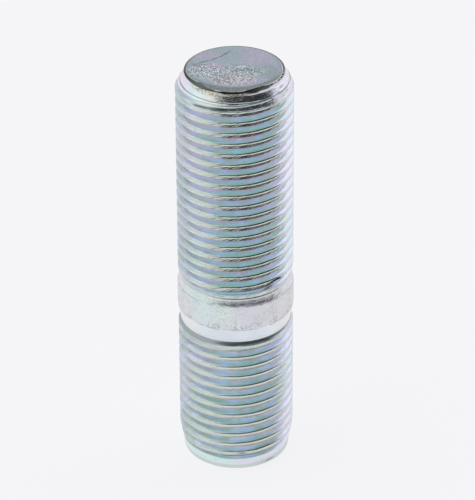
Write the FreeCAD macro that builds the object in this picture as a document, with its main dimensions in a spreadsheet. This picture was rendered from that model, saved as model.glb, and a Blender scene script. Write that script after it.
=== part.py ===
import FreeCAD
import Part
import Sketcher
import math
import os

# Wheel stud with a threaded length at each end and a plain collar between them.
# Millimetres, +Z up, origin at the centre of the lower end, which the stud stands on.

# Driving sizes
SIZES = {
    "overall_length": 47.6,
    "thread_diameter": 12.7,
    "thread_pitch": 1.27,
    "thread_half_angle": 30.0,
    "pitch_line_share": 0.375,
    "upper_end_length": 25.9,
    "upper_runout_length": 0.6,
    "upper_neck_length": 0.9,
    "collar_width": 2.9,
    "collar_step": 0.05,
    "lower_taper_length": 1.75,
    "lower_lead_length": 0.45,
    "top_chamfer_length": 1.9,
    "top_chamfer_depth": 0.97,
    "end_chamfer_length": 3.0,
    "end_chamfer_depth": 0.6,
    "top_rim_radius": 0.12,
    "end_rim_radius": 0.3,
    "neck_corner_radius": 0.25,
    "collar_edge_radius": 0.15,
    "cutter_clearance": 1.0,
}

NODE_NAME = "threaded_stud"
FULL_TURN = 360.0
ROUGH_LOOP_RADIUS = 5.0
ROUGH_LOOP_OFFSET = 10.0
MATCH_DISTANCE = 1e-4

# Radii and heights that follow from the driving sizes
THREAD_RADIUS = "sizes.thread_diameter / 2"
BLANK_DEPTH = (
    "sizes.pitch_line_share * sizes.thread_pitch / 2 / tan(sizes.thread_half_angle * 1 deg)"
)
BLANK_RADIUS = f"({THREAD_RADIUS} - {BLANK_DEPTH})"
COLLAR_RADIUS = f"({THREAD_RADIUS} + sizes.collar_step)"
CUTTER_RADIUS = f"({COLLAR_RADIUS} + sizes.cutter_clearance)"
AXIS = "0"
END_FACE = "0"
TOP_FACE = "sizes.overall_length"
COLLAR_TOP = "(sizes.overall_length - sizes.upper_end_length)"
COLLAR_BOTTOM = f"({COLLAR_TOP} - sizes.collar_width)"
BEVEL_TOP = f"({COLLAR_TOP} + sizes.collar_step + {BLANK_DEPTH})"
NECK_TOP = f"({BEVEL_TOP} + sizes.upper_neck_length)"
UPPER_THREAD_START = f"({NECK_TOP} + sizes.upper_runout_length)"
TAPER_BOTTOM = f"({COLLAR_BOTTOM} - sizes.lower_taper_length)"
LOWER_THREAD_START = f"({TAPER_BOTTOM} - sizes.lower_lead_length)"


def make_sheet(document):
    sheet = document.addObject("Spreadsheet::Sheet", "sizes")
    for row, (name, value) in enumerate(SIZES.items(), start=1):
        sheet.set(f"A{row}", name)
        sheet.set(f"B{row}", str(value))
        sheet.setAlias(f"B{row}", name)
    document.recompute()
    return sheet


def half_profile(body, name, corners):
    """Closed loop of straight lines beside the Z axis, each corner held by its radius and height."""
    sketch = body.newObject("Sketcher::SketchObject", name)
    plane = [item for item in body.Origin.OriginFeatures if item.Role == "XZ_Plane"][0]
    sketch.AttachmentSupport = (plane, [""])
    sketch.MapMode = "FlatFace"
    count = len(corners)
    rough = []
    for index in range(count):
        turn = 2.0 * math.pi * index / count
        across = ROUGH_LOOP_OFFSET + ROUGH_LOOP_RADIUS * math.cos(turn)
        up = ROUGH_LOOP_OFFSET + ROUGH_LOOP_RADIUS * math.sin(turn)
        rough.append(FreeCAD.Vector(across, up, 0.0))
    for index in range(count):
        sketch.addGeometry(Part.LineSegment(rough[index], rough[(index + 1) % count]), False)
    for index in range(count):
        following = (index + 1) % count
        sketch.addConstraint(Sketcher.Constraint("Coincident", index, 2, following, 1))
    for index, (radius, height) in enumerate(corners):
        across = sketch.addConstraint(
            Sketcher.Constraint("DistanceX", -1, 1, index, 1, rough[index].x)
        )
        up = sketch.addConstraint(
            Sketcher.Constraint("DistanceY", -1, 1, index, 1, rough[index].y)
        )
        sketch.setExpression(f"Constraints[{across}]", radius)
        sketch.setExpression(f"Constraints[{up}]", height)
    return sketch


def turned(body, kind, name, sketch):
    """Full turn of a half profile about the Z axis, added to the body or cut from it."""
    feature = body.newObject(kind, name)
    feature.Profile = sketch
    feature.ReferenceAxis = (sketch, ["V_Axis"])
    feature.Angle = FULL_TURN
    body.Document.recompute()
    return feature


def corner(sketch, index):
    """Radius and height of a corner of a solved half profile."""
    point = sketch.Geometry[index].StartPoint
    return point.x, point.y


def ring_edges(feature, places):
    """Names of the circular edges at the given pairs of radius and height."""
    names = []
    for radius, height in places:
        for index, edge in enumerate(feature.Shape.Edges, start=1):
            curve = edge.Curve
            if not isinstance(curve, Part.Circle):
                continue
            radius_fits = abs(curve.Radius - radius) < MATCH_DISTANCE
            height_fits = abs(curve.Center.z - height) < MATCH_DISTANCE
            if radius_fits and height_fits:
                names.append(f"Edge{index}")
    if len(names) != len(places):
        raise RuntimeError(f"{feature.Name}: found {len(names)} of {len(places)} ring edges")
    return names


def end_chamfer(body, name, base, place, depth, length):
    """Cone at an end of the bar, of one depth across the end face and another along the bar."""
    chamfer = body.newObject("PartDesign::Chamfer", name)
    chamfer.Base = (base, ring_edges(base, [place]))
    chamfer.ChamferType = "Two distances"
    chamfer.setExpression("Size", length)
    chamfer.setExpression("Size2", depth)
    body.Document.recompute()
    return chamfer


def rounded(body, name, base, places, radius):
    fillet = body.newObject("PartDesign::Fillet", name)
    fillet.Base = (base, ring_edges(base, places))
    fillet.setExpression("Radius", radius)
    body.Document.recompute()
    return fillet


document = FreeCAD.newDocument("stud")
sheet = make_sheet(document)
body = document.addObject("PartDesign::Body", NODE_NAME)
body.Label = NODE_NAME
body.Placement = FreeCAD.Placement()

# Bar at the threads' outer diameter
bar_profile = half_profile(body, "bar_profile", [
    (AXIS, END_FACE),
    (THREAD_RADIUS, END_FACE),
    (THREAD_RADIUS, TOP_FACE),
    (AXIS, TOP_FACE),
])
bar = turned(body, "PartDesign::Revolution", "bar", bar_profile)

# Collar, left wide enough for the bevel above it and the taper below it
collar_profile = half_profile(body, "collar_profile", [
    (AXIS, TAPER_BOTTOM),
    (COLLAR_RADIUS, TAPER_BOTTOM),
    (COLLAR_RADIUS, BEVEL_TOP),
    (AXIS, BEVEL_TOP),
])
collar = turned(body, "PartDesign::Revolution", "collar", collar_profile)

# Neck above the collar: bevel, plain length at the rolling diameter, run-out of the upper thread
upper_neck_profile = half_profile(body, "upper_neck_profile", [
    (CUTTER_RADIUS, COLLAR_TOP),
    (COLLAR_RADIUS, COLLAR_TOP),
    (BLANK_RADIUS, BEVEL_TOP),
    (BLANK_RADIUS, NECK_TOP),
    (THREAD_RADIUS, UPPER_THREAD_START),
    (CUTTER_RADIUS, UPPER_THREAD_START),
])
upper_neck = turned(body, "PartDesign::Groove", "upper_neck", upper_neck_profile)

# Neck below the collar: long taper down to the rolling diameter, short lead of the lower thread
lower_neck_profile = half_profile(body, "lower_neck_profile", [
    (CUTTER_RADIUS, COLLAR_BOTTOM),
    (CUTTER_RADIUS, LOWER_THREAD_START),
    (THREAD_RADIUS, LOWER_THREAD_START),
    (BLANK_RADIUS, TAPER_BOTTOM),
    (COLLAR_RADIUS, COLLAR_BOTTOM),
])
lower_neck = turned(body, "PartDesign::Groove", "lower_neck", lower_neck_profile)

# Cones at the two ends
top_edge = corner(bar_profile, 2)
end_edge = corner(bar_profile, 1)
top_chamfer = end_chamfer(
    body, "top_chamfer", lower_neck, top_edge, "sizes.top_chamfer_depth", "sizes.top_chamfer_length"
)
lower_chamfer = end_chamfer(
    body, "lower_chamfer", top_chamfer, end_edge, "sizes.end_chamfer_depth", "sizes.end_chamfer_length"
)

# Rounding: rims of the two end faces, inner corners of the necks, outer edges of the collar
top_rim = (top_edge[0] - sheet.top_chamfer_depth, top_edge[1])
end_rim = (end_edge[0] - sheet.end_chamfer_depth, end_edge[1])
top_round = rounded(body, "top_round", lower_chamfer, [top_rim], "sizes.top_rim_radius")
end_round = rounded(body, "end_round", top_round, [end_rim], "sizes.end_rim_radius")
neck_corners = [
    corner(upper_neck_profile, 2),
    corner(upper_neck_profile, 3),
    corner(lower_neck_profile, 3),
]
neck_round = rounded(body, "neck_round", end_round, neck_corners, "sizes.neck_corner_radius")
collar_edges = [corner(upper_neck_profile, 1), corner(lower_neck_profile, 4)]
collar_round = rounded(body, "collar_round", neck_round, collar_edges, "sizes.collar_edge_radius")
body.Tip = collar_round
document.recompute()

for item in document.Objects:
    if "Invalid" in item.State or "Error" in item.State:
        raise RuntimeError(f"{item.Name} failed: {item.State}")
if body.Shape.isNull() or not body.Shape.isValid() or len(body.Shape.Solids) != 1:
    raise RuntimeError(f"{body.Label} is not one valid solid")

os.makedirs("parts", exist_ok=True)
body.Shape.exportStep(os.path.join("parts", f"{body.Label}.step"))
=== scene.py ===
import math
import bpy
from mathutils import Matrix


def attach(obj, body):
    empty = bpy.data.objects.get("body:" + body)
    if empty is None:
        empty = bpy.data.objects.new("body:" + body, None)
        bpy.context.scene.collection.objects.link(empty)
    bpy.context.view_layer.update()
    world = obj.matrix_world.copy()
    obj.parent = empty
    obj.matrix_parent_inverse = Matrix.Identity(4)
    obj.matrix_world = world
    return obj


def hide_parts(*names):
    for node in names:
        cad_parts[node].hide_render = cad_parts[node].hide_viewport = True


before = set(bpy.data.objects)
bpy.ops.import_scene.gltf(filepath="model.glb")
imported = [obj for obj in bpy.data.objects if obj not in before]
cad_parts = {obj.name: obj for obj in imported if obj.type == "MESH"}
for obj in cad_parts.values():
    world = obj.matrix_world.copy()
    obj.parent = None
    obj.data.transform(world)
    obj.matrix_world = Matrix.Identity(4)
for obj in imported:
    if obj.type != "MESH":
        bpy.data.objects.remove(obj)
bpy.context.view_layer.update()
from types import SimpleNamespace

import bpy
import numpy as np
from mathutils import Matrix

# Sizes of the stud in millimetres, as in the CAD model
MM = 0.001
LENGTH = 47.6
THREAD_RADIUS = 6.35
COLLAR_RADIUS = 6.4
PITCH = 1.27
HALF_PITCH = PITCH / 2.0

# Radii as the photo shows them, within the CAD model's box
LOWER_NECK_RADIUS = 6.105
UPPER_NECK_RADIUS = 6.06
END_RADIUS = 5.88
CONE_MIDDLE_RADIUS = 6.06
RIDGE_RADIUS = 5.95
CONE_GROOVE_EDGE = 5.83
CONE_GROOVE_RADIUS = 5.79
LIP_FOOT_RADIUS = 5.49
LIP_RADIUS = 5.40
FACE_RADIUS = 5.12

# Heights along the stud
END_RING_TOP = 0.85
END_CONE_TOP = 3.0
LOWER_THREAD_TOP = 16.6
TAPER_BOTTOM = 17.13
COLLAR_BOTTOM = 18.8
COLLAR_TOP = 21.7
BEVEL_TOP = 22.34
TOOL_LINE = 22.58
UPPER_NECK_TOP = 22.95
UPPER_THREAD_BOTTOM = 23.5
TOP_CONE_BOTTOM = 45.80
CONE_MIDDLE = 46.25
RIDGE_TOP = 46.45
CONE_GROOVE = RIDGE_TOP + 0.09
LIP_BOTTOM = 47.14
LIP_SHOULDER = LENGTH - 0.2
LIP_EDGE = LENGTH - 0.01
FACE_HEIGHT = LENGTH - 0.012

# No thread is rolled between these heights, nor on the lip
BARE_BOTTOM = TAPER_BOTTOM - 0.1
BARE_TOP = UPPER_NECK_TOP - 0.35
BARE_LIP = LIP_BOTTOM - 0.05

# Height of a crest at the front of each thread
UPPER_CREST = 44.332
TOP_TURN_CREST = UPPER_CREST + PITCH
LOWER_CREST = 16.269

# Stretch of mesh that follows each helix: turns below that crest, and turns in all
UPPER_TURNS_BELOW = 17.0
UPPER_HELIX_TURNS = 19
UPPER_HELIX_START = UPPER_CREST - UPPER_TURNS_BELOW * PITCH
UPPER_HELIX_END = UPPER_HELIX_START + UPPER_HELIX_TURNS * PITCH
LOWER_TURNS_BELOW = 12.5
LOWER_HELIX_TURNS = 13
LOWER_HELIX_START = LOWER_CREST - LOWER_TURNS_BELOW * PITCH
LOWER_HELIX_END = LOWER_HELIX_START + LOWER_HELIX_TURNS * PITCH

# Slope from the last crest of the lower thread up to its neck. It starts later on the left, and is steeper
# away from the front
LEAD_START = 0.44
LEAD_DELAY = 0.10
LEAD_SLOPE = 0.60
LEAD_SIDE_SLOPE = 0.2

# Rolled thread form with a seam along the crest: distance up from the middle of the crest, depth below it
CREST_FOOT = -0.215
UNDER_EDGE = 0.012
SEAM_FLOOR = 0.005
LIP_FOOT = 0.020
LIP_HEAD = 0.165
LOW_CUT = 0.385
ROOT_DEPTH = 0.735
THREAD_FORM = [
    (-HALF_PITCH, ROOT_DEPTH),
    (-0.600, 0.725),
    (-0.420, 0.386),
    (CREST_FOOT - UNDER_EDGE, 0.0226),
    (CREST_FOOT, 0.000),
    (-0.100, 0.050),
    (SEAM_FLOOR, 0.100),
    (LIP_FOOT, 0.005),
    (LIP_HEAD, 0.000),
    (0.212, 0.026),
    (0.247, 0.056),
    (0.279, 0.096),
    (0.310, 0.148),
    (LOW_CUT, 0.279),
    (0.480, 0.446),
    (0.590, 0.638),
    (HALF_PITCH, ROOT_DEPTH),
]
FORM_OFFSET = np.array([point[0] for point in THREAD_FORM])
FORM_DEPTH = np.array([point[1] for point in THREAD_FORM])
FULL_DEPTH = 0.74

# The first turn of the upper thread and the seam on the lower crests are shallower
FIRST_TURN_SHARE = 0.78
LOWER_SEAM = 0.85

# The groove of the top turn lies higher up its pitch than the others
TOP_TURN_SHIFT = 0.235

# Heights of the small unevenness of the rolled and the turned skin
CREST_WOBBLE = 0.005
SKIN_WOBBLE = 0.004

# Depth of the last groove of the lower thread
END_GROOVE = 0.06

# The top cone is turned a little off centre, towards the right
CONE_SHIFT = 0.07

# Dents: angle in degrees from the front, height, half width in degrees, half height, depth
DENTS = [
    (40.0, 24.02, 6.0, 0.12, 0.26),
    (46.0, 24.12, 4.5, 0.08, 0.16),
    (-9.0, 45.62, 2.5, 0.08, 0.05),
    (5.0, 2.34, 5.0, 0.12, 0.09),
    (52.0, 46.60, 3.5, 0.12, 0.06),
    (60.0, 46.90, 4.0, 0.08, 0.07),
    (66.0, 46.35, 3.5, 0.15, 0.05),
    (57.0, 46.15, 4.0, 0.07, 0.06),
]

# Turned outline that the thread is rolled into: height, radius
OUTLINE = [
    (0.0, END_RADIUS),
    (0.60, END_RADIUS + 0.03),
    (1.30, END_RADIUS + 0.13),
    (END_CONE_TOP, THREAD_RADIUS),
    (LOWER_THREAD_TOP, THREAD_RADIUS),
    (TAPER_BOTTOM - 0.02, LOWER_NECK_RADIUS),
    (TAPER_BOTTOM + 0.06, LOWER_NECK_RADIUS + 0.01),
    (COLLAR_BOTTOM - 0.12, COLLAR_RADIUS - 0.02),
    (COLLAR_BOTTOM + 0.15, COLLAR_RADIUS),
    (COLLAR_TOP - 0.1, COLLAR_RADIUS),
    (COLLAR_TOP + 0.08, COLLAR_RADIUS - 0.05),
    (COLLAR_TOP + 0.30, COLLAR_RADIUS - 0.19),
    (BEVEL_TOP - 0.06, UPPER_NECK_RADIUS + 0.03),
    (BEVEL_TOP + 0.04, UPPER_NECK_RADIUS),
    (TOOL_LINE - 0.10, UPPER_NECK_RADIUS),
    (TOOL_LINE - 0.08, UPPER_NECK_RADIUS - 0.01),
    (TOOL_LINE - 0.01, UPPER_NECK_RADIUS - 0.10),
    (TOOL_LINE, UPPER_NECK_RADIUS - 0.10),
    (TOOL_LINE + 0.05, UPPER_NECK_RADIUS + 0.01),
    (UPPER_NECK_TOP, UPPER_NECK_RADIUS),
    (UPPER_THREAD_BOTTOM, THREAD_RADIUS),
    (TOP_CONE_BOTTOM, THREAD_RADIUS),
    (TOP_CONE_BOTTOM + 0.06, THREAD_RADIUS - 0.03),
    (CONE_MIDDLE, CONE_MIDDLE_RADIUS),
    (RIDGE_TOP, RIDGE_RADIUS),
    (RIDGE_TOP + 0.02, CONE_GROOVE_EDGE),
    (CONE_GROOVE, CONE_GROOVE_RADIUS),
    (RIDGE_TOP + 0.16, CONE_GROOVE_EDGE),
    (LIP_BOTTOM, LIP_FOOT_RADIUS),
    (LIP_BOTTOM + 0.05, LIP_RADIUS + 0.04),
    (LIP_SHOULDER, LIP_RADIUS),
]
OUTLINE_HEIGHT = np.array([point[0] for point in OUTLINE])
OUTLINE_RADIUS = np.array([point[1] for point in OUTLINE])

# Lip at the top: drop of its edge, and what is added at the front, where it is torn, and as raggedness
LIP_DROP = 0.05
LIP_FRONT_DROP = 0.03
LIP_TORN_DROP = 0.05
LIP_RAGGEDNESS = 0.45

# Slit inside the lip: depth, what is added at the front, reach over the face on each side, raggedness
SLIT_DEPTH = 0.02
SLIT_FRONT_DEPTH = 0.12
SLIT_LEFT_REACH = 0.44
SLIT_RIGHT_REACH = 0.42
SLIT_RAGGEDNESS = 0.12

# Rings from the lip to the face: radius, shares of the lip's drop, the slit's depth and the inward bend
LIP_RINGS = (
    (LIP_RADIUS - 0.01, 1.3, 0.0, 0.0),
    (LIP_RADIUS - 0.03, 1.0, 0.0, 0.0),
    (LIP_RADIUS - 0.08, 1.0, 0.1, 0.0),
    (LIP_RADIUS - 0.13, 1.0, 1.0, 0.1),
    (LIP_RADIUS - 0.20, 0.8, 1.0, 0.3),
    (FACE_RADIUS + 0.05, 0.5, 0.4, 0.9),
    (FACE_RADIUS + 0.02, 0.2, 0.0, 1.0),
    (FACE_RADIUS - 0.03, 0.08, 0.0, 1.0),
)
RING_WANDER = 0.012

# Rows of the rim's waves, one for each use
WANDER_ROW = 0.0
RAGGED_ROW = 3.0
BEND_ROW = 5.0
TORN_ROW = 7.0

# Top face: shares of its radius at which rings lie, height of its waves, and how soon they rise from the rim
FACE_SHARES = (0.96, 0.90, 0.80, 0.68, 0.56, 0.44, 0.33, 0.21, 0.10)
FACE_DIP = 0.006
FACE_RISE = 5.0

# Lower end: radii of the rings on its face, radii and heights of those on its rim, heights of those above
END_FACE_RADII = (0.6, 1.8, 3.0, 4.0, 4.8, 5.2)
END_RIM = ((5.52, 0.01), (5.74, 0.03), (5.85, 0.09))
END_ROWS = (0.22, 0.32, LOWER_HELIX_START)

# Even rows between the threads and on the top cone, and how close together rows may lie
MIDDLE_ROWS = 44
CONE_ROWS = 7
CLOSEST_ROWS = 0.02
CLOSEST_PLACES = 0.012

# Mesh columns, from the back round by the front, with angles from the front towards the right
COLUMNS = 144
TAU = 2.0 * math.pi
COLUMN_ANGLE = -math.pi + TAU * np.arange(COLUMNS) / COLUMNS
COLUMN_SHARE = np.arange(COLUMNS) / COLUMNS
BACK_TO_FRONT = 0.5

# Materials of the faces
THREAD, PLAIN, FACE = 0, 1, 2

# An edge this near a corner of the thread form, and this level, is sharp. The low cut is so near the end
SHARP_REACH = 0.004
LEVEL_REACH = 0.002
LOW_CUT_TOP = 1.9

# Places on the texture sheet
SHEET_EDGE = 0.005
SKIN_BOTTOM = 0.34
DISC_RADIUS = 0.155
TOP_DISC = (0.17, 0.17)
END_DISC = (0.5, 0.17)

# Slant at which the rolling streaks cross the crests
STREAK_SLANT = 3.3

# Painted crests and lead: limits, and the strength on each thread of the dark edge, a painted dark
# reflection along each crest's upper edge
LEAD_TOP = TAPER_BOTTOM + 0.03
LEAD_MARGIN = 0.02
CREST_PAINT_TOP = TOP_CONE_BOTTOM + 0.06
CREST_PAINT_BOTTOM = 0.7
CREST_HEAD = 0.18
LEFT_CREST_DROP = 0.15
UPPER_EDGE = 0.8
LOWER_EDGE = 0.2

# Painted cones and end ring
OUTLINE_REACH = 0.05
RING_TOP = 0.58
RING_RISE = 0.17
RING_BLUR = 0.05
CHAMFER_TOP = 0.72

# Painted shade in the slit and the cone's groove, and darker dents: reach over the slit, how much less of it
# at the back and on the left, strength in dents and groove
SLIT_SHADE_REACH = 1.15
FACE_BAND = 0.012
BACK_LESS_DARK = 0.35
LEFT_LESS_DARK = 0.2
FULL_DENT = 0.12
DENT_DARK = 0.85
GROOVE_SHADE = 0.92
LEFT_KHAKI = 0.4

# Unit and limit of the painted distances from the collar's edges
EDGE_UNIT = 0.3
EDGE_LIMIT = 3.0

# Middle value of a noise texture
NOISE_MIDDLE = 0.5

# Colours are red, green and blue, and all are opaque
OPAQUE = 1.0
FACE_ROUGHNESS = 0.55

# Sockets of a Mix node that mixes colours
MIX_FIRST = 6
MIX_SECOND = 7
MIX_RESULT = 2

# Floor: white, keeping a faint shadow
FLOOR_HALF = 3.0
FLOOR_COLOUR = (0.9, 0.9, 0.91)
FLOOR_GLOW = (0.955, 0.955, 0.975)
FLOOR_GLOW_SHARE = 0.88

# Sky: paper for the camera, light for the stud, and soft round patches in it: azimuth from the camera's side
# towards its right, elevation, inner and outer reach in degrees, and colour
PAPER = (0.904661, 0.904661, 0.921582)
SKY = (0.94, 0.95, 0.96)
SKY_PATCHES = [
    ((0, 90, 8, 42), (0.66, 0.69, 0.70)),
    ((75, 68, 8, 36), (0.56, 0.59, 0.60)),
    ((180, 31, 8, 34), (0.60, 0.62, 0.64)),
    ((137, 35, 12, 40), (1.18, 1.16, 1.18)),
    ((-112, 60, 10, 34), (1.30, 1.22, 1.18)),
    ((-140, 34, 8, 30), (0.78, 0.80, 0.82)),
]
DARK_SKY = (0.03, 0.03, 0.03)
DARK_PATCHES = [(-10, 38, 16, 33), (25, 36, 20, 36), (58, 34, 18, 40)]

# Camera, as found from the photo's outlines
FOCAL_PIXELS = 3149.0
IMAGE_LONG_SIDE = 500.0
SENSOR = 36.0
CLIP_START = 0.01
CAMERA_PITCH = math.radians(31.352)
CAMERA_YAW = math.radians(-0.038)
CAMERA_ROLL = math.radians(-0.341)
CAMERA_PLACE = np.array([0.0, -294.78, 204.74]) * MM


def waves(seed, count, turns, rises):
    """Seeded sum of waves round and along the stud, about one unit high."""
    pick = np.random.default_rng(seed)
    around = pick.integers(-turns, turns + 1, count)
    along = pick.uniform(-rises, rises, count)
    shift = pick.uniform(0.0, TAU, count)
    size = pick.uniform(0.4, 1.0, count)
    size = size / np.sqrt((size ** 2).sum())

    def field(phi, z):
        total = np.zeros(np.broadcast(phi, z).shape)
        for k in range(count):
            total = total + size[k] * np.sin(around[k] * phi + along[k] * z + shift[k])
        return total

    return field


crest_wave = waves(seed=3, count=14, turns=30, rises=6.0)
rim_wave = waves(seed=8, count=16, turns=22, rises=2.0)
skin_wave = waves(seed=13, count=40, turns=40, rises=9.0)
face_wave = waves(seed=21, count=12, turns=4, rises=1.5)


def smooth(value, start, end):
    """Smooth change from 0 to 1 as the value goes from start to end."""
    share = np.clip((value - start) / (end - start), 0.0, 1.0)
    return share * share * (3.0 - 2.0 * share)


def hump(value, centre, width):
    """One at the centre, falling off on both sides."""
    return np.exp(-(((value - centre) / width) ** 2))


def near_angle(phi, degrees, width):
    """One at an angle from the front, falling off on both sides."""
    return hump(phi, math.radians(degrees), math.radians(width))


def crest_offset(phi, z):
    """Distance up from the middle of the nearest crest."""
    crest = np.where(z > COLLAR_BOTTOM, UPPER_CREST, LOWER_CREST)
    turn = (z - crest) / PITCH - phi / TAU
    return (turn - np.round(turn)) * PITCH


def height_over(crest, phi, z):
    """Height over one turn of a crest that passes the front at the given height."""
    return z - crest - PITCH * phi / TAU


def slit_reach(phi):
    """How far the dark bevel inside the lip reaches in over the top face."""
    left = SLIT_LEFT_REACH * near_angle(phi, degrees=-50.0, width=18.0)
    return left + SLIT_RIGHT_REACH * near_angle(phi, degrees=29.0, width=18.0)


def outline_at(phi, z):
    """Radius of the turned outline, with the top cone off centre."""
    shift = CONE_SHIFT * np.sin(phi) * smooth(z, TOP_CONE_BOTTOM, RIDGE_TOP)
    shift = shift * smooth(z, LIP_SHOULDER, RIDGE_TOP)
    return np.interp(z, OUTLINE_HEIGHT, OUTLINE_RADIUS) + shift


def form_depth(offset):
    """Depth of the thread form at a distance up from the middle of a crest."""
    return np.interp(offset, FORM_OFFSET, FORM_DEPTH)


def lead_start(phi):
    """Distance above the last crest of the lower thread at which its slope to the neck begins."""
    return LEAD_START + LEAD_DELAY * smooth(-np.sin(phi), start=0.0, end=0.9)


def lead_depth(above, phi):
    """Depth of the slope that leads from a crest of the lower thread up to its neck."""
    slope = LEAD_SLOPE + LEAD_SIDE_SLOPE * (1.0 - near_angle(phi, degrees=4.0, width=22.0))
    return np.clip((above - lead_start(phi)) * slope, 0.0, THREAD_RADIUS - LOWER_NECK_RADIUS)


def run_out(phi):
    """Share by which the last crest of the lower thread has run out into its neck, at the back."""
    return smooth(phi, start=math.radians(105.0), end=math.radians(178.0))


def rolled_depth(phi, z):
    """Depth of the rolled form, with the top turn's groove and the lead of the lower thread."""
    upper = z > COLLAR_BOTTOM
    offset = crest_offset(phi, z)
    depth = form_depth(offset)
    above_top = height_over(TOP_TURN_CREST, phi, z)
    shift = TOP_TURN_SHIFT * smooth(phi, start=-2.6, end=-1.6) * smooth(phi, start=2.9, end=2.2)
    top_groove = np.minimum(form_depth(above_top - shift), form_depth(above_top - PITCH))
    depth = np.where(above_top > LIP_HEAD, top_groove, depth)
    first_turn = np.interp(z, [UPPER_NECK_TOP, UPPER_NECK_TOP + PITCH], [FIRST_TURN_SHARE, 1.0])
    depth = depth * np.where(upper, first_turn, 1.0)
    in_seam = (offset > CREST_FOOT) & (offset < LIP_HEAD) & ~upper
    depth = np.where(in_seam, LOWER_SEAM * depth, depth)
    # On the lower cone the crests are lower, but as narrow as elsewhere
    missing = THREAD_RADIUS - outline_at(phi, z)
    low_crest = missing + depth * (1.0 - missing / FULL_DEPTH)
    on_cone = smooth(z, start=1.75, end=1.95) * (z < END_CONE_TOP)
    depth = depth + on_cone * (low_crest - depth)
    above = height_over(LOWER_CREST, phi, z)
    depth = np.where((above > LIP_HEAD) & ~upper, lead_depth(above, phi), depth)
    above = height_over(LOWER_CREST - PITCH, phi, z)
    ending = run_out(phi) * ((above > LIP_HEAD) & ~upper)
    return depth + ending * (lead_depth(above, -phi) - depth)


def is_bare(z):
    """True where no thread is rolled: the stretch between the threads, and the lip."""
    between = (z > BARE_BOTTOM) & (z < BARE_TOP)
    return between | (z > BARE_LIP)


def dent_depth(phi, z):
    total = np.zeros(np.broadcast(phi, z).shape)
    for angle, height, width, tall, depth in DENTS:
        total = total + depth * near_angle(phi, angle, width) * hump(z, height, tall)
    return total


def radius_at(phi, z):
    """Radius of the stud's surface: the rolled form within the turned outline, less the dents."""
    outline = outline_at(phi, z)
    rolled = np.minimum(THREAD_RADIUS - rolled_depth(phi, z), outline)
    # Only a faint groove is left of the thread near the lower end, at the front right
    end_groove = END_GROOVE * smooth(phi, start=0.15, end=0.5) * smooth(phi, start=2.4, end=1.4)
    rolled = np.where(z < END_RING_TOP, np.maximum(rolled, outline - end_groove), rolled)
    near_crest = smooth(outline - rolled, start=0.22, end=0.08)
    rolled = rolled + CREST_WOBBLE * near_crest * crest_wave(phi, z)
    bare = outline + SKIN_WOBBLE * skin_wave(phi, z)
    return np.where(is_bare(z), bare, rolled) - dent_depth(phi, z)


class Shell:
    """Corners and faces of the stud's skin, gathered ring by ring from the bottom up."""

    def __init__(self):
        self.blocks = []
        self.total = 0
        self.faces = []
        self.kinds = []
        self.last = None

    def ring(self, radius, z, phi=COLUMN_ANGLE):
        phi, radius, z = np.broadcast_arrays(phi, radius, z)
        self.blocks.append(np.stack([phi, radius, z], 1))
        start = self.total
        self.total += len(phi)
        return np.arange(start, self.total)

    def skin_ring(self, z):
        z = np.broadcast_to(z, COLUMN_ANGLE.shape)
        return self.ring(radius_at(COLUMN_ANGLE, z), z)

    def face(self, corners, kind):
        kept = [corner for k, corner in enumerate(corners) if corner != corners[k - 1]]
        if len(kept) > 2:
            self.faces.append(kept)
            self.kinds.append(kind)

    def join(self, ring, kind):
        """Band of faces from the last ring up to this one."""
        for i in range(COLUMNS):
            j = (i + 1) % COLUMNS
            self.face([self.last[i], self.last[j], ring[j], ring[i]], kind)
        self.last = ring

    def level_rings(self, heights, kind):
        for height in heights:
            self.join(self.skin_ring(height), kind)


def helix_zone(shell, start, turns, crest):
    """Rows that follow the thread's helix from the last level ring up to another."""
    crest_place = (crest - start) / PITCH - BACK_TO_FRONT
    wanted = sorted((crest_place + offset / PITCH) % 1.0 for offset in FORM_OFFSET[:-1])
    places = [0.0] + [place for place in wanted if CLOSEST_PLACES < place < 1.0 - CLOSEST_PLACES]
    per_turn = len(places)
    top = start + turns * PITCH
    # Wedge from the level ring up to the first full row of the helix
    rows = [shell.last]
    for place in places[1:]:
        ring = shell.skin_ring(start + PITCH * COLUMN_SHARE * place)
        ring[0] = shell.last[0]
        rows.append(ring)
    for turn in range(turns - 1):
        for place in places:
            ring = shell.skin_ring(start + PITCH * (turn + place + COLUMN_SHARE))
            if turn == 0 and place == 0.0:
                ring[0] = shell.last[0]
            rows.append(ring)
    # Wedge from the last full row up to the upper level ring
    low = start + PITCH * (turns - 1 + COLUMN_SHARE)
    for place in places:
        rows.append(shell.skin_ring(low + (top - low) * place))
    shell.last = shell.skin_ring(top)
    rows.append(shell.last)
    count = len(rows)
    tip = shell.last[0]
    for q in range(count - 1):
        for i in range(COLUMNS):
            if i < COLUMNS - 1:
                right_low = rows[q][i + 1]
                right_high = rows[q + 1][i + 1]
            else:
                right_low = rows[q + per_turn][0] if q + per_turn < count else tip
                right_high = rows[q + 1 + per_turn][0] if q + 1 + per_turn < count else tip
            shell.face([rows[q][i], right_low, right_high, rows[q + 1][i]], THREAD)


def outline_heights(low, high, count):
    """Heights from low to high: every turn of the outline and an even spread between them."""
    turns = [height for height, _ in OUTLINE if low < height < high]
    evenly = np.linspace(low, high, count)[1:].tolist()
    apart = [h for h in evenly if min(abs(h - t) for t in turns) > CLOSEST_ROWS]
    return sorted(turns + apart)


def lower_end(shell):
    """Flat lower face and its rounded rim."""
    centre = shell.ring(0.0, 0.0, phi=np.zeros(1))[0]
    shell.last = shell.ring(END_FACE_RADII[0], 0.0)
    for i in range(COLUMNS):
        shell.face([centre, shell.last[(i + 1) % COLUMNS], shell.last[i]], FACE)
    for radius in END_FACE_RADII[1:]:
        shell.join(shell.ring(radius, 0.0), FACE)
    for radius, height in END_RIM:
        shell.join(shell.ring(radius, height), THREAD)


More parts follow.
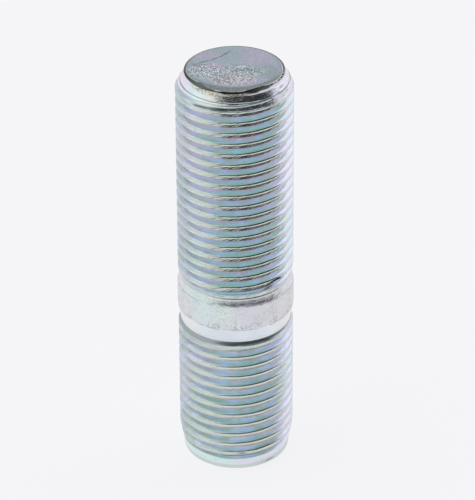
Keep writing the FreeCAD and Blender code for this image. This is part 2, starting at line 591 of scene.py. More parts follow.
def upper_end(shell):
    """Rolled lip, the dark slit inside it and the top face."""
    phi = COLUMN_ANGLE
    wander = RING_WANDER * rim_wave(phi, WANDER_ROW)
    ragged = smooth(np.cos(phi), start=-0.2, end=0.6)
    lip_drop = LIP_DROP + LIP_FRONT_DROP * near_angle(phi, degrees=0.0, width=60.0)
    lip_drop = lip_drop * (1.0 + LIP_RAGGEDNESS * ragged * rim_wave(phi, RAGGED_ROW))
    torn = LIP_TORN_DROP * near_angle(phi, degrees=68.0, width=16.0)
    lip_drop = lip_drop + torn * (1.0 + rim_wave(phi, TORN_ROW))
    slit_depth = SLIT_DEPTH + SLIT_FRONT_DEPTH * near_angle(phi, degrees=0.0, width=85.0)
    inward = slit_reach(phi) * (1.0 + SLIT_RAGGEDNESS * rim_wave(phi, BEND_ROW))
    for radius, drop_share, slit_share, bend in LIP_RINGS:
        height = LIP_EDGE - drop_share * lip_drop - slit_share * slit_depth
        shell.join(shell.ring(radius - bend * inward + wander, height), THREAD)
    for part in FACE_SHARES:
        radius = part * (FACE_RADIUS - inward)
        dip = FACE_DIP * face_wave(phi, radius) * min(1.0, FACE_RISE * (1.0 - part))
        shell.join(shell.ring(radius, FACE_HEIGHT + dip), FACE)
    centre = shell.ring(0.0, FACE_HEIGHT, phi=np.zeros(1))[0]
    for i in range(COLUMNS):
        shell.face([shell.last[i], shell.last[(i + 1) % COLUMNS], centre], FACE)


def build_shell():
    shell = Shell()
    lower_end(shell)
    shell.level_rings(END_ROWS, THREAD)
    helix_zone(shell, LOWER_HELIX_START, LOWER_HELIX_TURNS, LOWER_CREST)
    middle = outline_heights(LOWER_HELIX_END, UPPER_HELIX_START, MIDDLE_ROWS)
    shell.level_rings([h for h in middle if h < TAPER_BOTTOM], THREAD)
    shell.level_rings([h for h in middle if h >= TAPER_BOTTOM], PLAIN)
    helix_zone(shell, UPPER_HELIX_START, UPPER_HELIX_TURNS, UPPER_CREST)
    shell.level_rings(outline_heights(UPPER_HELIX_END, LIP_SHOULDER, CONE_ROWS), THREAD)
    upper_end(shell)
    return shell


def build_mesh():
    """Mesh of the stud, and the angle, radius and height of each of its corners."""
    shell = build_shell()
    polar = np.concatenate(shell.blocks)
    used = np.unique(np.concatenate(shell.faces))
    renumber = np.zeros(len(polar), dtype=int)
    renumber[used] = np.arange(len(used))
    faces = [renumber[face].tolist() for face in shell.faces]
    phi, radius, z = polar[used].T
    points = np.stack([radius * np.sin(phi), -radius * np.cos(phi), z], 1) * MM
    mesh = bpy.data.meshes.new("stud_skin")
    mesh.from_pydata(points.tolist(), [], faces)
    mesh.polygons.foreach_set("material_index", np.array(shell.kinds, dtype=np.int32))
    mesh.shade_smooth()
    return mesh, phi, radius, z


def sharpen(mesh, phi, z):
    """Mark the edges along the corners of the thread form as sharp."""
    ends = np.zeros(2 * len(mesh.edges), dtype=np.int32)
    mesh.edges.foreach_get("vertices", ends)
    first, second = ends.reshape(-1, 2).T
    offset = crest_offset(phi, z)
    along = np.abs(offset[first] - offset[second]) < LEVEL_REACH
    height = z[first]
    on_thread = ~is_bare(height) & (height < TOP_CONE_BOTTOM + 0.1)
    sharp = np.zeros(len(mesh.edges), dtype=bool)
    for corner in (CREST_FOOT, SEAM_FLOOR, LIP_FOOT, LIP_HEAD):
        sharp = sharp | (np.abs(offset[first] - corner) < SHARP_REACH)
    sharp = sharp | ((np.abs(offset[first] - LOW_CUT) < SHARP_REACH) & (height < LOW_CUT_TOP))
    layer = mesh.attributes.new("sharp_edge", "BOOLEAN", "EDGE")
    layer.data.foreach_set("value", sharp & along & on_thread)


def unroll(mesh, phi_all, radius_all, z_all):
    """Layout for baked textures: the skin unrolled, with the two end faces as discs below it."""
    loop_total = np.zeros(len(mesh.polygons), dtype=np.int32)
    mesh.polygons.foreach_get("loop_total", loop_total)
    corner = np.zeros(len(mesh.loops), dtype=np.int32)
    mesh.loops.foreach_get("vertex_index", corner)
    face = np.repeat(np.arange(len(loop_total)), loop_total)
    starts = np.concatenate([[0], np.cumsum(loop_total)[:-1]])
    phi = phi_all[corner]
    radius = radius_all[corner]
    z = z_all[corner]
    crosses = np.maximum.reduceat(phi, starts) - np.minimum.reduceat(phi, starts) > math.pi
    phi = np.where(crosses[face] & (phi < 0.0), phi + TAU, phi)
    widest = np.maximum.reduceat(radius, starts)[face]
    on_top = (np.minimum.reduceat(z, starts)[face] > LENGTH - 0.35) & (widest < LIP_RADIUS + 0.02)
    on_end = (np.maximum.reduceat(z, starts)[face] < 0.05) & (widest < END_RADIUS)
    whole_turn = TAU * (1.0 + 1.0 / COLUMNS)
    u = SHEET_EDGE + (1.0 - 2.0 * SHEET_EDGE) * (phi + math.pi) / whole_turn
    v = SKIN_BOTTOM + (1.0 - SHEET_EDGE - SKIN_BOTTOM) * z / LENGTH
    for chosen, (middle_u, middle_v) in ((on_top, TOP_DISC), (on_end, END_DISC)):
        across = DISC_RADIUS * radius / END_RADIUS
        u = np.where(chosen, middle_u + across * np.sin(phi), u)
        v = np.where(chosen, middle_v - across * np.cos(phi), v)
    layer = mesh.uv_layers.new(name="OFBake")
    layer.data.foreach_set("uv", np.stack([u, v], 1).astype(np.float32).ravel())


def paint(mesh, layers):
    for name, values in layers.items():
        layer = mesh.attributes.new(name, "FLOAT", "POINT")
        layer.data.foreach_set("value", np.asarray(values, dtype=np.float32))


def paint_streaks(mesh, phi, z):
    """Place along the crests, slanted so that the rolling streaks cross them."""
    slanted = phi - STREAK_SLANT * crest_offset(phi, z) / THREAD_RADIUS
    lay = THREAD_RADIUS * MM * np.stack([np.sin(slanted), -np.cos(slanted), np.zeros_like(slanted)], 1)
    layer = mesh.attributes.new("lay", "FLOAT_VECTOR", "POINT")
    layer.data.foreach_set("vector", lay.astype(np.float32).ravel())


def thread_layers(phi, radius, z):
    """Depth in the thread, the crests with their foot and the painted dark reflection along their upper
    edge, and the lead above the lower thread.
    """
    east = np.sin(phi)
    offset = crest_offset(phi, z)
    above = height_over(LOWER_CREST, phi, z)
    below_taper = z < LEAD_TOP
    slope = (above > lead_start(phi) - LEAD_MARGIN) & below_taper
    ending = run_out(phi) * (above + PITCH > lead_start(-phi) - LEAD_MARGIN) * below_taper
    threaded = ~is_bare(z) & ~slope & (z < CREST_PAINT_TOP) & (z > CREST_PAINT_BOTTOM)
    crest_head = CREST_HEAD - LEFT_CREST_DROP * smooth(-east, start=0.5, end=0.92)
    crest = smooth(offset, CREST_FOOT - UNDER_EDGE, CREST_FOOT)
    crest = crest * smooth(offset - crest_head, start=0.04, end=-0.03) * threaded
    # Painted dark reflection along the upper edge of each crest, strongest at the front
    edge = hump(offset, centre=0.250, width=0.045) * threaded * smooth(np.abs(east), start=0.95, end=0.4)
    return {
        "depth": np.clip((outline_at(phi, z) - radius) / FULL_DEPTH, 0.0, 1.0),
        "foot": smooth(offset, start=-0.02, end=-0.16),
        "crest": crest,
        "edge": edge * np.where(z > COLLAR_BOTTOM, UPPER_EDGE, LOWER_EDGE),
        "lead": np.maximum(slope, ending),
        "haze": z < COLLAR_BOTTOM,
        "east": east,
    }


def cone_layers(phi, radius, z):
    """Bare cones, the ring at the lower end and the painted shade on the front of the top cone's chamfer."""
    on_outline = np.clip(1.0 - (outline_at(phi, z) - radius) / OUTLINE_REACH, 0.0, 1.0)
    top_cone = on_outline * smooth(z, TOP_CONE_BOTTOM, TOP_CONE_BOTTOM + 0.15)
    end_cone = on_outline * smooth(z, start=1.9, end=1.4)
    end_ring = smooth(z, start=0.75, end=0.65)
    ring_top = RING_TOP + RING_RISE * smooth(phi, start=0.15, end=0.6)
    below_groove = height_over(TOP_TURN_CREST, phi, z) < CHAMFER_TOP
    # Painted shade: a dark band on the front of the top cone's chamfer
    on_chamfer = below_groove & (z > TOP_CONE_BOTTOM + 0.03) & (z < RIDGE_TOP)
    in_front = smooth(phi, start=math.radians(-52.0), end=math.radians(-38.0))
    in_front = in_front * smooth(phi, start=math.radians(2.0), end=math.radians(-16.0))
    return {
        "plain": np.maximum(top_cone, np.maximum(end_cone, end_ring)),
        "ring": smooth(z, ring_top + RING_BLUR, ring_top - RING_BLUR),
        "chamfer": on_outline * on_chamfer * in_front,
    }


def lip_layers(phi, radius, z):
    """Painted shade in the slit and the cone's groove, darker dents, and the tints of the lip."""
    # Painted shade in the slit inside the lip, less at the back and on the left
    slit_edge = FACE_RADIUS - 0.02 - SLIT_SHADE_REACH * slit_reach(phi)
    in_slit = (z > LENGTH - 0.3) & (radius < LIP_RADIUS - 0.02) & (radius > slit_edge)
    in_slit = in_slit & (np.abs(z - FACE_HEIGHT) > FACE_BAND)
    back = smooth(-np.cos(phi), start=-0.3, end=0.6)
    left_bevel = near_angle(phi, degrees=-50.0, width=22.0)
    slit_shade = in_slit * (1.0 - BACK_LESS_DARK * back - LEFT_LESS_DARK * left_bevel)
    # Darker dents, and painted shade along the cone's groove
    dent_dark = DENT_DARK * np.clip(dent_depth(phi, z) / FULL_DENT, 0.0, 1.0)
    groove_shade = GROOVE_SHADE * hump(z, CONE_GROOVE, width=0.05)
    outside = radius > LIP_RADIUS - 0.05
    lip_reach = smooth(z, LIP_BOTTOM - 0.22, LIP_BOTTOM) * outside
    lip_wall = smooth(z, LIP_BOTTOM - 0.02, LIP_BOTTOM + 0.05) * outside
    left = LEFT_KHAKI * near_angle(phi, degrees=-30.0, width=20.0)
    return {
        "soil": np.maximum(slit_shade, np.maximum(dent_dark, groove_shade)),
        "silver": in_slit * near_angle(phi, degrees=68.0, width=20.0),
        "lip": lip_reach * near_angle(phi, degrees=-36.0, width=22.0),
        "khaki": lip_wall * np.maximum(near_angle(phi, degrees=0.0, width=20.0), left),
    }


def collar_layers(phi, z):
    """The collar, distances from its two edges, its bevel at the front, where a painted dark reflection
    lies, and the tool line above it.
    """
    on_bevel = smooth(z, COLLAR_TOP - 0.02, COLLAR_TOP + 0.08)
    on_bevel = on_bevel * smooth(z, BEVEL_TOP + 0.02, BEVEL_TOP - 0.06)
    return {
        "collar": smooth(z, COLLAR_BOTTOM - 0.1, COLLAR_BOTTOM + 0.1),
        "rim": np.clip((z - COLLAR_BOTTOM + 0.05) / EDGE_UNIT, -EDGE_LIMIT, EDGE_LIMIT),
        "brow": np.clip((z - COLLAR_TOP) / EDGE_UNIT, -EDGE_LIMIT, EDGE_LIMIT),
        "bevel": on_bevel * near_angle(phi, degrees=12.0, width=30.0),
        "tool": hump(z, TOOL_LINE - 0.01, width=0.03),
    }


class Nodes:
    """Short ways to add nodes to one node tree."""

    def __init__(self, tree):
        self.tree = tree
        tree.nodes.clear()

    def feed(self, socket, value):
        if isinstance(value, bpy.types.NodeSocket):
            self.tree.links.new(value, socket)
        elif socket.type == "RGBA":
            socket.default_value = (*value, OPAQUE)
        else:
            socket.default_value = value

    def add(self, kind, inputs=None, **settings):
        """New node with some settings, its inputs given by name or by number."""
        node = self.tree.nodes.new(kind)
        for name, value in settings.items():
            setattr(node, name, value)
        for name, value in (inputs or {}).items():
            self.feed(node.inputs[name], value)
        return node

    def math(self, operation, first, second=0.0, clamp=False):
        node = self.add("ShaderNodeMath", {0: first, 1: second}, operation=operation, use_clamp=clamp)
        return node.outputs[0]

    def chain(self, operation, values):
        total = values[0]
        for value in values[1:]:
            total = self.math(operation, total, value)
        return total

    def times(self, *values):
        return self.chain("MULTIPLY", values)

    def most(self, *values):
        return self.chain("MAXIMUM", values)

    def scaled(self, value, by):
        return self.math("MULTIPLY", value, by)

    def sway(self, value, amount):
        """A noise value moved to swing about zero."""
        return self.scaled(self.math("SUBTRACT", value, NOISE_MIDDLE), amount)

    def size(self, value):
        return self.math("ABSOLUTE", value)

    def ease(self, value, start, end, low=0.0, high=1.0):
        """Smooth change from low to high as the value goes from start to end."""
        inputs = {"Value": value, "From Min": start, "From Max": end, "To Min": low, "To Max": high}
        node = self.add("ShaderNodeMapRange", inputs, interpolation_type="SMOOTHSTEP")
        return node.outputs["Result"]

    def line(self, distance, wobble, start, end):
        """One along a wavering line at distance zero, falling off on both sides."""
        return self.ease(self.size(self.math("ADD", distance, wobble)), start, end)

    def blend(self, factor, first, second):
        inputs = {"Factor": factor, MIX_FIRST: first, MIX_SECOND: second}
        node = self.add("ShaderNodeMix", inputs, data_type="RGBA", blend_type="MIX")
        return node.outputs[MIX_RESULT]

    def coat(self, colour, layers):
        """Colour under layers of paint, each a factor and a tint."""
        for factor, tint in layers:
            colour = self.blend(factor, colour, tint)
        return colour

    def ramp(self, factor, stops):
        node = self.add("ShaderNodeValToRGB", {"Fac": factor})
        spots = node.color_ramp.elements
        while len(spots) < len(stops):
            spots.new(0.5)
        for spot, (position, colour) in zip(spots, stops):
            spot.position = position
            spot.color = (*colour, OPAQUE)
        return node.outputs["Color"]

    def noise(self, vector, scale, detail, roughness=0.5):
        inputs = {"Vector": vector, "Scale": scale, "Detail": detail, "Roughness": roughness}
        return self.add("ShaderNodeTexNoise", inputs).outputs["Fac"]

    def stretch(self, vector, factors):
        node = self.add("ShaderNodeVectorMath", {0: vector, 1: factors}, operation="MULTIPLY")
        return node.outputs["Vector"]

    def upright(self, vector, factor):
        """Place with its height stretched, so that a noise runs round the stud."""
        return self.stretch(vector, (1.0, 1.0, factor))

    def layer(self, name, part="Fac"):
        return self.add("ShaderNodeAttribute", attribute_name=name).outputs[part]

    def place(self):
        return self.add("ShaderNodeTexCoord").outputs["Object"]

    def distance(self, vector, point):
        node = self.add("ShaderNodeVectorMath", {0: vector, 1: point}, operation="DISTANCE")
        return node.outputs["Value"]

    def spot(self, vector, centre, reach):
        """One inside an oval on a flat face, falling to zero at its edge, all in millimetres."""
        factors = (1.0 / (reach[0] * MM), 1.0 / (reach[1] * MM), 0.0)
        middle = (centre[0] / reach[0], centre[1] / reach[1], 0.0)
        return self.ease(self.distance(self.stretch(vector, factors), middle), start=1.15, end=0.6)

    def far(self, vector, centre):
        """Distance in millimetres from a point of a flat face."""
        factors = (1.0 / MM, 1.0 / MM, 0.0)
        return self.distance(self.stretch(vector, factors), (centre[0], centre[1], 0.0))

    def bump(self, height, distance, strength):
        inputs = {"Height": height, "Distance": distance, "Strength": strength}
        return self.add("ShaderNodeBump", inputs).outputs["Normal"]

    def metal(self, colour, roughness, normal):
        inputs = {"Metallic": 1.0, "Base Color": colour, "Roughness": roughness, "Normal": normal}
        shader = self.add("ShaderNodeBsdfPrincipled", inputs)
        self.add("ShaderNodeOutputMaterial", {"Surface": shader.outputs["BSDF"]})

    def show(self, kind, factor, first, second):
        """Mix of two shaders, shown by an output node of the given kind."""
        mix = self.add("ShaderNodeMixShader", {"Fac": factor, 1: first.outputs[0], 2: second.outputs[0]})
        self.add(kind, {"Surface": mix.outputs[0]})


def new_material(name):
    material = bpy.data.materials.new(name)
    material.use_nodes = True
    return material, Nodes(material.node_tree)


def thread_inputs(n):
    """Painted values and noises that several colours of the threads are made from."""
    place = n.place()
    return SimpleNamespace(
        place=place,
        east=n.layer("east"),
        haze=n.layer("haze"),
        ridge=n.layer("crest"),
        plain=n.layer("plain"),
        slow=n.noise(n.upright(place, factor=2.0), scale=560.0, detail=2.0),
        streak=n.noise(n.upright(place, factor=9.0), scale=900.0, detail=3.0),
        strand=n.noise(n.layer("lay", part="Vector"), scale=2300.0, detail=2.0),
        grain=n.noise(place, scale=5200.0, detail=2.0),
    )


def flank_colour(n, s, film):
    """Film colours from crest to root, paler towards the right from painted light and greyer towards the
    left from painted shade.
    """
    teal = (0.48, 0.68, 0.63)
    cyan = (0.51, 0.74, 0.75)
    blue = (0.55, 0.68, 0.82)
    lavender = (0.61, 0.61, 0.71)
    mauve = (0.66, 0.62, 0.68)
    upper = n.ramp(film, [(0.10, teal), (0.34, cyan), (0.52, blue), (0.72, lavender), (0.92, mauve)])
    teal = (0.55, 0.74, 0.73)
    cyan = (0.58, 0.81, 0.86)
    blue = (0.66, 0.78, 0.89)
    lavender = (0.77, 0.78, 0.88)
    mauve = (0.80, 0.77, 0.82)
    lower = n.ramp(film, [(0.10, teal), (0.34, cyan), (0.52, blue), (0.72, lavender), (0.92, mauve)])
    blue = (0.62, 0.71, 0.82)
    lilac = (0.70, 0.70, 0.82)
    pink = (0.78, 0.74, 0.82)
    pale = n.ramp(film, [(0.1, blue), (0.5, lilac), (0.9, pink)])
    teal = (0.50, 0.61, 0.62)
    blue = (0.62, 0.71, 0.80)
    mauve = (0.68, 0.68, 0.76)
    grey = n.ramp(film, [(0.1, teal), (0.5, blue), (0.9, mauve)])
    far_left_shade = (0.49, 0.55, 0.59)
    # Painted light on the right side and painted shade on the left, over the film colours
    return n.coat(upper, [
        (s.haze, lower),
        (n.ease(s.east, start=0.4, end=0.97), pale),
        (n.ease(s.east, start=-0.15, end=-0.6), grey),
        (n.ease(s.east, start=-0.72, end=-0.95, high=0.9), far_left_shade),
    ])


def film_colour(n, s):
    """Film on the flanks, with wide patches of pink and green and small ones of green and blue, and a
    painted dark reflection along the upper edge of each crest.
    """
    mottle = n.noise(n.upright(s.place, factor=2.5), scale=1700.0, detail=3.0, roughness=0.6)
    fine = n.math("ADD", n.sway(s.streak, amount=0.3), n.sway(mottle, amount=1.1))
    film = n.math("ADD", n.sway(s.slow, amount=1.3), fine)
    film = n.math("ADD", n.layer("depth"), film, clamp=True)
    drift = n.noise(s.place, scale=150.0, detail=1.0)
    blotch = n.noise(s.place, scale=520.0, detail=2.0, roughness=0.6)
    at_sides = n.ease(n.size(s.east), start=0.3, end=0.9, low=0.06, high=0.42)
    patchy = n.ease(s.haze, start=0.0, end=1.0, low=0.35, high=0.6)
    broken = n.ease(s.streak, start=0.3, end=0.6, low=0.3, high=0.8)
    film_pink = (0.80, 0.69, 0.84)
    film_green = (0.48, 0.63, 0.56)
    patch_green = (0.57, 0.69, 0.63)
    patch_blue = (0.66, 0.76, 0.96)
    edge_dark_reflection = (0.32, 0.41, 0.36)
    return n.coat(flank_colour(n, s, film), [
        (n.times(n.ease(drift, start=0.50, end=0.60), at_sides), film_pink),
        (n.ease(drift, start=0.48, end=0.38, high=0.35), film_green),
        (n.times(n.ease(blotch, start=0.48, end=0.40), patchy), patch_green),
        (n.times(n.ease(blotch, start=0.53, end=0.60), patchy), patch_blue),
        # Painted dark reflection along the upper edges of the crests
        (n.times(n.layer("edge"), broken), edge_dark_reflection),
    ])


def crest_colour(n, s):
    """Crests with strands of cream and brown, cleaner on the lower thread, paler at the far right from
    painted light and greyer at the far left from painted shade.
    """
    brown = (0.34, 0.32, 0.27)
    dull_cream = (0.52, 0.55, 0.50)
    cream = (0.69, 0.76, 0.69)
    clean_cream = (0.77, 0.84, 0.78)
    rose_brown = (0.55, 0.51, 0.48)
    right_crest_light = (0.68, 0.69, 0.75)
    left_crest_shade = (0.58, 0.64, 0.66)
    lower_foot = n.times(n.layer("foot"), s.haze)
    return n.coat(n.ramp(s.strand, [(0.32, brown), (0.44, dull_cream), (0.56, cream)]), [
        (n.scaled(s.haze, by=0.7), clean_cream),
        (n.scaled(lower_foot, by=0.65), rose_brown),
        # Painted light on the crests at the far right, painted shade on those at the far left
        (n.ease(s.east, start=0.65, end=0.95), right_crest_light),
        (n.ease(s.east, start=-0.7, end=-0.95), left_crest_shade),
    ])


def cone_colour(n, s):
    """Bare zinc of the two end cones, its tint changing from the left to the right."""
    pink = (0.84, 0.77, 0.89)
    blue_white = (0.80, 0.85, 0.94)
    cyan_white = (0.73, 0.91, 0.90)
    warm_white = (0.80, 0.83, 0.78)
    lilac = (0.83, 0.83, 0.92)
    cone_lilac = (0.72, 0.755, 0.85)
    cone_pink = (0.79, 0.75, 0.85)
    line_grey = (0.40, 0.45, 0.45)
    from_left = n.scaled(n.math("ADD", s.east, 1.0), by=0.5)
    across = n.math("ADD", from_left, n.sway(s.slow, amount=0.12))
    upper = n.ramp(across, [
        (0.02, pink),
        (0.07, blue_white),
        (0.14, cyan_white),
        (0.26, warm_white),
        (0.75, cone_lilac),
        (0.95, cone_pink),
    ])
    lower = n.ramp(across, [(0.1, cyan_white), (0.42, cyan_white), (0.55, blue_white), (0.75, lilac)])
    at_right = n.ease(s.east, start=0.3, end=0.6, high=0.45)
    return n.coat(upper, [
        (n.times(n.ease(s.streak, start=0.54, end=0.64), at_right), line_grey),
        (n.scaled(s.haze, by=0.75), lower),
    ])


def lip_coats(n, s):
    """Olive and flecked cream on the lip, painted shade in the slit and the cone's groove, darker dents,
    silver flecks on the right.
    """
    olive = (0.13, 0.12, 0.08)
    lip_brown = (0.22, 0.21, 0.15)
    lip_cream = (0.74, 0.73, 0.60)
    recess_dark_colour = (0.034, 0.034, 0.027)
    rim_silver = (0.62, 0.64, 0.60)
    return [
        (n.times(n.layer("khaki"), n.ease(s.grain, start=0.38, end=0.55, low=0.4)), olive),
        (n.scaled(n.layer("lip"), by=0.85), n.ramp(s.grain, [(0.40, lip_brown), (0.52, lip_cream)])),
        # Painted shade in the slit and the cone's groove, and darker dents
        (n.times(n.layer("soil"), n.ease(s.streak, start=0.25, end=0.45, low=0.88)), recess_dark_colour),
        (n.times(n.layer("silver"), n.ease(s.grain, start=0.44, end=0.56)), rim_silver),
    ]


def thread_material():
    """Zinc with a rainbow film on the threads, bare pale zinc on the cones, painted dark reflections and
    shade on the crest edges, lead and chamfer, and painted shade at the lip.
    """
    material, n = new_material("zinc_thread")
    s = thread_inputs(n)
    chamfer_shade = (0.14, 0.18, 0.17)
    pale_green = (0.65, 0.73, 0.705)
    dull_zinc = (0.38, 0.43, 0.45)
    lead_dark_reflection = (0.22, 0.26, 0.25)
    speck = (0.16, 0.17, 0.15)
    # At the front the lead is darkened by a painted dark reflection
    at_front = n.times(n.ease(s.east, start=-0.35, end=-0.1), n.ease(s.east, start=0.95, end=0.7))
    colour = n.coat(film_colour(n, s), [
        (s.ridge, crest_colour(n, s)),
        (s.plain, cone_colour(n, s)),
        # Painted shade on the front of the top cone's chamfer
        (n.layer("chamfer"), chamfer_shade),
        (n.layer("ring"), pale_green),
        (n.layer("lead"), n.blend(at_front, dull_zinc, lead_dark_reflection)),
        *lip_coats(n, s),
        (n.times(n.ease(s.grain, start=0.62, end=0.72, high=0.6), s.ridge), speck),
    ])
    roughness = n.ease(s.streak, start=0.3, end=0.7, low=0.15, high=0.26)
    roughness = n.math("ADD", roughness, n.scaled(s.haze, by=0.12))
    # Relief: fine grain, strands on the crests, and turning marks on the top cone
    strands = n.times(s.strand, s.ridge, n.ease(s.haze, start=0.0, end=1.0, low=1.0, high=0.3))
    marks = n.noise(n.upright(s.place, factor=5.0), scale=1500.0, detail=3.0, roughness=0.6)
    top_marks = n.times(marks, s.plain, n.math("SUBTRACT", 1.0, s.haze))
    relief = n.math("ADD", n.scaled(s.grain, by=0.3), strands)
    relief = n.math("ADD", relief, n.scaled(top_marks, by=2.2))
    n.metal(colour, roughness, n.bump(relief, distance=0.00004, strength=0.5))
    return material


def plain_material():
    """Paler, duller zinc on the turned collar, taper and neck, wrinkled on the collar."""
    material, n = new_material("zinc_plain")
    place = n.place()
    east = n.layer("east")
    collar = n.layer("collar")
    rim = n.layer("rim")
    cloud = n.noise(place, scale=330.0, detail=3.0)
    wrinkle = n.noise(n.upright(place, factor=1.3), scale=1250.0, detail=3.0, roughness=0.6)
    coarse = n.noise(place, scale=700.0, detail=2.0)
    grain = n.noise(place, scale=6000.0, detail=2.0)
    pink = (0.78, 0.78, 0.81)
    cyan = (0.74, 0.85, 0.87)
    mint = (0.77, 0.85, 0.82)
    white = (0.77, 0.81, 0.84)
    lilac = (0.78, 0.78, 0.87)
    tone = n.math("ADD", n.ease(east, start=-1.0, end=1.0), n.sway(cloud, amount=0.55))
    clouds = n.ramp(tone, [
        (0.0, pink),
        (0.1, cyan),
        (0.3, mint),
        (0.5, white),
        (0.7, lilac),
        (0.95, pink),
    ])
    front_taper = (0.84, 0.89, 0.96)
    side_taper = (0.97, 0.965, 0.965)
    taper = n.blend(n.ease(n.size(east), start=0.45, end=0.9), front_taper, side_taper)
    # Wrinkles: thin winding lines where the noise crosses its middle value
    dull = (0.34, 0.38, 0.34)
    fold = n.size(n.math("SUBTRACT", wrinkle, NOISE_MIDDLE))
    lower = n.times(collar, n.ease(rim, start=3.0, end=0.8, low=0.4))
    lines = n.times(n.ease(fold, start=0.05, end=0.0), n.ease(coarse, start=0.36, end=0.56), lower)
    pits = n.times(n.ease(wrinkle, start=0.59, end=0.70), n.ease(coarse, start=0.36, end=0.52), lower)
    # Worn lines along the collar's lower edge and the sides of its upper edge
    olive = (0.40, 0.43, 0.36)
    bevel_dark_reflection = (0.42, 0.45, 0.45)
    ragged = n.line(rim, n.sway(coarse, amount=1.6), start=0.22, end=0.05)
    ragged = n.times(n.scaled(ragged, by=0.9), n.ease(wrinkle, start=0.36, end=0.56))
    worn = n.line(n.layer("brow"), n.sway(coarse, amount=0.9), start=0.24, end=0.04)
    at_sides = n.ease(n.size(east), start=0.25, end=0.45)
    worn = n.times(worn, at_sides, n.ease(wrinkle, start=0.34, end=0.54, low=0.2, high=0.75))
    colour = n.coat(clouds, [
        (n.scaled(n.math("SUBTRACT", 1.0, collar), by=0.8), taper),
        (n.scaled(lines, by=0.9), dull),
        (n.scaled(pits, by=0.8), dull),
        (ragged, olive),
        (worn, olive),
        # Painted dark reflection on the collar's upper bevel at the front
        (n.times(n.layer("bevel"), n.ease(wrinkle, start=0.38, end=0.62, high=0.6)), bevel_dark_reflection),
        (n.scaled(n.layer("tool"), by=0.6), olive),
    ])
    roughness = n.ease(cloud, start=0.3, end=0.7, low=0.32, high=0.44)
    relief = n.math("ADD", wrinkle, n.scaled(grain, by=0.3))
    n.metal(colour, roughness, n.bump(relief, distance=0.00014, strength=0.6))
    return material


def face_material():
    """Sheared end faces: grey-blue zinc, grainy and sparkling in places, and a scratch on the top."""
    material, n = new_material("zinc_face")
    place = n.place()
    cloud = n.noise(place, scale=300.0, detail=2.0)
    grain = n.noise(place, scale=6500.0, detail=2.0, roughness=0.6)
    blot = n.noise(place, scale=1100.0, detail=3.0)
    teal_grey = (0.40, 0.52, 0.55)
    grey = (0.45, 0.51, 0.58)
    lilac_grey = (0.54, 0.50, 0.64)
    smooth_teal = (0.36, 0.44, 0.45)
    front_grey = (0.26, 0.29, 0.30)
    pink_grey = (0.56, 0.49, 0.55)
    smear_grey = (0.24, 0.28, 0.28)
    bright = (0.90, 0.94, 0.96)
    dark = (0.16, 0.19, 0.19)
    right_lilac = n.spot(place, centre=(2.6, 2.4), reach=(1.9, 1.7))
    left_lilac = n.spot(place, centre=(-2.6, 2.9), reach=(1.6, 0.9))
    right_teal = n.spot(place, centre=(3.8, -0.7), reach=(1.2, 1.7))
    edge_teal = n.ease(n.far(place, centre=(0.0, 0.6)), start=4.5, end=5.0)
    front = n.ease(n.far(place, centre=(0.0, 1.6)), start=5.3, end=5.9)
    pink = n.spot(place, centre=(-0.2, -2.3), reach=(2.7, 1.5))
    left_smear = n.spot(place, centre=(-4.0, 1.0), reach=(0.9, 0.4))
    middle_smear = n.spot(place, centre=(1.2, -0.1), reach=(1.2, 0.35))
    smear = n.times(n.most(left_smear, middle_smear), n.ease(blot, start=0.3, end=0.6, high=0.8))
    # Grain: bright sparkle on the left, mixed in the middle, faint elsewhere
    faint = 0.16
    sparkle = n.spot(place, centre=(-2.9, -0.4), reach=(2.4, 1.8))
    middle = n.spot(place, centre=(0.4, -0.6), reach=(3.2, 1.7))
    rough_place = n.most(sparkle, pink, n.scaled(middle, by=0.8))
    amount = n.math("ADD", n.scaled(rough_place, by=0.82), faint)
    # Scratch: part of a large circle about a point beyond the rim
    scratch_radius = 7.0
    arc = n.math("SUBTRACT", n.far(place, centre=(-6.29, 7.97)), scratch_radius)
    scratch = n.line(arc, n.sway(blot, amount=0.35), start=0.16, end=0.03)
    inside = n.ease(n.far(place, centre=(0.0, 0.0)), start=5.0, end=3.6)
    scratch = n.times(scratch, n.ease(blot, start=0.34, end=0.52), inside)
    colour = n.coat(n.ramp(cloud, [(0.32, teal_grey), (0.5, grey), (0.66, lilac_grey)]), [
        (n.scaled(n.most(right_lilac, left_lilac), by=0.7), lilac_grey),
        (n.scaled(n.most(right_teal, edge_teal), by=0.8), smooth_teal),
        (front, front_grey),
        (n.scaled(pink, by=0.7), pink_grey),
        (smear, smear_grey),
        (n.times(n.ease(grain, start=0.50, end=0.62), amount), bright),
        (n.times(n.ease(grain, start=0.50, end=0.38, high=0.8), amount), dark),
        (n.times(n.ease(blot, start=0.58, end=0.68, high=0.6), middle), dark),
        (n.scaled(scratch, by=0.75), dark),
    ])
    relief = n.math("SUBTRACT", n.times(grain, amount), scratch)
    n.metal(colour, FACE_ROUGHNESS, n.bump(relief, distance=0.00008, strength=0.6))
    return material


def floor_material():
    material, n = new_material("floor")
    diffuse = n.add("ShaderNodeBsdfDiffuse", {"Color": FLOOR_COLOUR})
    glow = n.add("ShaderNodeEmission", {"Color": FLOOR_GLOW})
    path = n.add("ShaderNodeLightPath").outputs
    seen = n.most(path["Is Camera Ray"], path["Is Glossy Ray"], path["Is Transmission Ray"])
    n.show("ShaderNodeOutputMaterial", n.scaled(seen, by=FLOOR_GLOW_SHARE), diffuse, glow)
    return material


def sky_patch(n, direction, azimuth, elevation, inner, outer):
    """One inside a soft round patch of the sky."""
    a = math.radians(azimuth)
    e = math.radians(elevation)
    aim = (math.sin(a) * math.cos(e), -math.cos(a) * math.cos(e), math.sin(e))
    dot = n.add("ShaderNodeVectorMath", {0: direction, 1: aim}, operation="DOT_PRODUCT")
    return n.ease(dot.outputs["Value"], math.cos(math.radians(outer)), math.cos(math.radians(inner)))


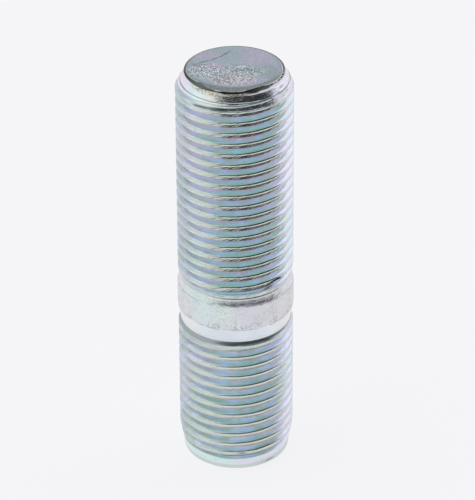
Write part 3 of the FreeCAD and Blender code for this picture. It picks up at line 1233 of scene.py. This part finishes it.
def make_world():
    """Studio light all round, and plain paper where the camera looks past the stud."""
    world = bpy.data.worlds.new("studio")
    world.use_nodes = True
    n = Nodes(world.node_tree)
    direction = n.add("ShaderNodeTexCoord").outputs["Generated"]
    sky = SKY
    for place, colour in SKY_PATCHES:
        sky = n.blend(sky_patch(n, direction, *place), sky, colour)
    dark = n.most(*[sky_patch(n, direction, *place) for place in DARK_PATCHES])
    light = n.add("ShaderNodeBackground", {"Color": n.blend(dark, sky, DARK_SKY)})
    paper = n.add("ShaderNodeBackground", {"Color": PAPER})
    path = n.add("ShaderNodeLightPath").outputs
    n.show("ShaderNodeOutputWorld", path["Is Camera Ray"], light, paper)
    return world


def camera_matrix():
    right = np.array([1.0, 0.0, 0.0])
    forward = np.array([0.0, math.cos(CAMERA_PITCH), -math.sin(CAMERA_PITCH)])
    up = np.array([0.0, math.sin(CAMERA_PITCH), math.cos(CAMERA_PITCH)])
    turned_right = math.cos(CAMERA_YAW) * right + math.sin(CAMERA_YAW) * forward
    turned_forward = math.cos(CAMERA_YAW) * forward - math.sin(CAMERA_YAW) * right
    matrix = np.eye(4)
    matrix[:3, 0] = math.cos(CAMERA_ROLL) * turned_right + math.sin(CAMERA_ROLL) * up
    matrix[:3, 1] = math.cos(CAMERA_ROLL) * up - math.sin(CAMERA_ROLL) * turned_right
    matrix[:3, 2] = -turned_forward
    matrix[:3, 3] = CAMERA_PLACE
    return Matrix(matrix.tolist())


scene = bpy.context.scene

# The stud
mesh, phi_all, radius_all, z_all = build_mesh()
sharpen(mesh, phi_all, z_all)
unroll(mesh, phi_all, radius_all, z_all)
paint(mesh, thread_layers(phi_all, radius_all, z_all))
paint(mesh, cone_layers(phi_all, radius_all, z_all))
paint(mesh, lip_layers(phi_all, radius_all, z_all))
paint(mesh, collar_layers(phi_all, z_all))
paint_streaks(mesh, phi_all, z_all)
for material in (thread_material(), plain_material(), face_material()):
    mesh.materials.append(material)
stud = bpy.data.objects.new("stud_skin", mesh)
scene.collection.objects.link(stud)
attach(stud, "root")
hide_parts("threaded_stud")

# The floor
floor_mesh = bpy.data.meshes.new("floor")
quarters = ((-1.0, -1.0), (1.0, -1.0), (1.0, 1.0), (-1.0, 1.0))
floor_corners = [(x * FLOOR_HALF, y * FLOOR_HALF, 0.0) for x, y in quarters]
floor_mesh.from_pydata(floor_corners, [], [(0, 1, 2, 3)])
floor_mesh.materials.append(floor_material())
floor = bpy.data.objects.new("floor", floor_mesh)
scene.collection.objects.link(floor)

# The light and the camera
scene.world = make_world()
camera_data = bpy.data.cameras.new("camera")
camera_data.sensor_width = SENSOR
camera_data.lens = FOCAL_PIXELS * SENSOR / IMAGE_LONG_SIDE
camera_data.clip_start = CLIP_START
camera = bpy.data.objects.new("camera", camera_data)
camera.matrix_world = camera_matrix()
scene.collection.objects.link(camera)
scene.camera = camera
scene.view_settings.view_transform = "Standard"
